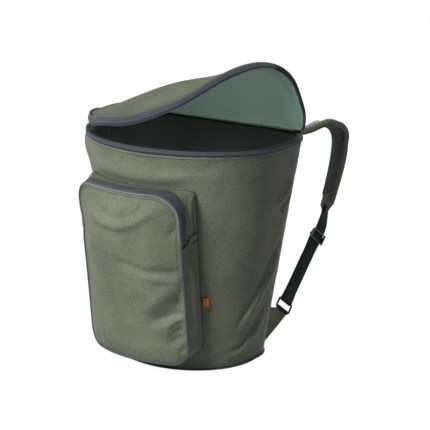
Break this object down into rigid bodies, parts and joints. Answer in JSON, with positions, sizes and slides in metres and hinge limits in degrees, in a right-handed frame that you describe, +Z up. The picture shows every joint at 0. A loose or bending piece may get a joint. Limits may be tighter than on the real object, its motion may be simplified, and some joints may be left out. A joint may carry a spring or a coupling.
{
  "type": "mushroom back basket",
  "caption": "Tapered soft tub backpack for gathering mushrooms: zipped lid that curls open, zipped front pocket, padded twisted shoulder straps with slide buckles and foot rings.",
  "frame": {"origin": "centre of the underside of the base, where the tub's widest line crosses its middle plane", "axes": "+Z up, +X to the wearer's right, +Y from the pocket to the back panel and the straps"},
  "size_m": [0.4061, 0.5868, 0.5752],
  "materials": {
    "shell_fabric": "coated woven, matt",
    "foam": "closed-cell foam sheet",
    "inner_lining": "smooth coated lining",
    "lid_lining": "smooth coated lining",
    "board": "stiff sheet",
    "piping": "corded binding",
    "zip_tape": "coated zip tape",
    "zip_coil": "nylon coil",
    "slider_metal": "dull metal",
    "pull_tab": "moulded",
    "woven_tab": "woven",
    "webbing": "woven webbing",
    "strap_mesh": "spacer mesh",
    "hardware": "moulded"
  },
  "bodies": {
    "tub": {"front_side_panel": "shell_fabric", "back_panel": "shell_fabric", "wall_foam": "foam", "back_foam": "foam", "wall_lining": "inner_lining", "base_panel": "shell_fabric", "base_board": "board", "floor_lining": "inner_lining", "base_piping": "piping", "rim_zip_tape": "zip_tape", "rim_zip_coil": "zip_coil", "lid_yoke": "shell_fabric", "pocket_front": "shell_fabric", "pocket_gusset": "shell_fabric", "pocket_zip_facing": "shell_fabric", "pocket_zip_rear_tape": "zip_tape", "pocket_zip_front_tape": "zip_tape", "pocket_zip_coil": "zip_coil", "pocket_piping": "piping", "gusset_piping": "piping", "seam_tab": "woven_tab"},
    "lid": {"lid_hinge_cord": "piping"},
    "lid_corner": {"lid_panel": "shell_fabric", "lid_foam": "foam", "lid_lining": "lid_lining", "lid_zip_tape": "zip_tape", "lid_zip_coil": "zip_coil"},
    "pocket_slider": {"pocket_slider": "slider_metal"},
    "pocket_pull": {"pocket_pull": "pull_tab"},
    "lid_slider": {"lid_slider": "slider_metal"},
    "lid_pull": {"lid_pull": "pull_tab"},
    "grab_loop": {"grab_loop": "webbing"},
    "strap_right": {"strap_right_cover": "shell_fabric", "strap_right_foam": "foam", "strap_right_mesh": "strap_mesh", "strap_right_webbing": "webbing", "strap_right_wedge": "shell_fabric", "strap_right_ring": "hardware"},
    "strap_right_buckle": {"strap_right_buckle": "hardware"},
    "strap_left": {"strap_left_cover": "shell_fabric", "strap_left_foam": "foam", "strap_left_mesh": "strap_mesh", "strap_left_webbing": "webbing", "strap_left_wedge": "shell_fabric", "strap_left_ring": "hardware"},
    "strap_left_buckle": {"strap_left_buckle": "hardware"}
  },
  "joints": [
    {"name": "lid_hinge", "type": "hinge", "parent": "tub", "child": "lid", "pos_m": [0, 0.105, 0.428], "axis": [-1, 0, 0], "range_deg": [0, 100]},
    {"name": "lid_curl", "type": "hinge", "parent": "lid", "child": "lid_corner", "pos_m": [0, 0.105, 0.428], "axis": [-1, 0, 0], "range_deg": [-66, 12], "deforming": ["lid_panel", "lid_foam", "lid_lining", "lid_zip_tape", "lid_zip_coil"]},
    {"name": "pocket_zip", "type": "slide", "parent": "tub", "child": "pocket_slider", "axis": [0, -0.0936, 0.9956], "range_m": [-0.016, 0.02]},
    {"name": "pocket_pull_hinge", "type": "hinge", "parent": "pocket_slider", "child": "pocket_pull", "pos_m": [-0.1211, -0.1651, 0.288], "axis": [0, 0.9956, 0.0936], "range_deg": [0, 165]},
    {"name": "lid_zip", "type": "slide", "parent": "tub", "child": "lid_slider", "axis": [0, -0.9996, 0.0279], "range_m": [0, 0.038]},
    {"name": "lid_pull_hinge", "type": "hinge", "parent": "lid_slider", "child": "lid_pull", "pos_m": [-0.2033, 0.044, 0.4249], "axis": [0, 0.0279, 0.9996], "range_deg": [0, 165]},
    {"name": "grab_loop_flex", "type": "hinge", "parent": "tub", "child": "grab_loop", "pos_m": [0, 0.1445, 0.4], "axis": [1, 0, 0], "range_deg": [-40, 40], "stiffness_Nm_per_rad": 0.03, "deforming": ["grab_loop"]},
    {"name": "strap_right_swing", "type": "hinge", "parent": "tub", "child": "strap_right", "pos_m": [0.104, 0.1485, 0.404], "axis": [0.0707, -0.2079, -0.9756], "range_deg": [-18, 25], "deforming": ["strap_right_cover", "strap_right_foam", "strap_right_mesh", "strap_right_webbing", "strap_right_wedge"]},
    {"name": "strap_right_adjust", "type": "slide", "parent": "strap_right", "child": "strap_right_buckle", "axis": [-0.01, 0.7403, 0.6722], "range_m": [-0.11, 0]},
    {"name": "strap_left_swing", "type": "hinge", "parent": "tub", "child": "strap_left", "pos_m": [-0.104, 0.1485, 0.404], "axis": [0.0707, 0.2079, 0.9756], "range_deg": [-18, 25], "deforming": ["strap_left_cover", "strap_left_foam", "strap_left_mesh", "strap_left_webbing", "strap_left_wedge"]},
    {"name": "strap_left_adjust", "type": "slide", "parent": "strap_left", "child": "strap_left_buckle", "axis": [0.01, 0.7403, 0.6722], "range_m": [-0.11, 0]}
  ]
}
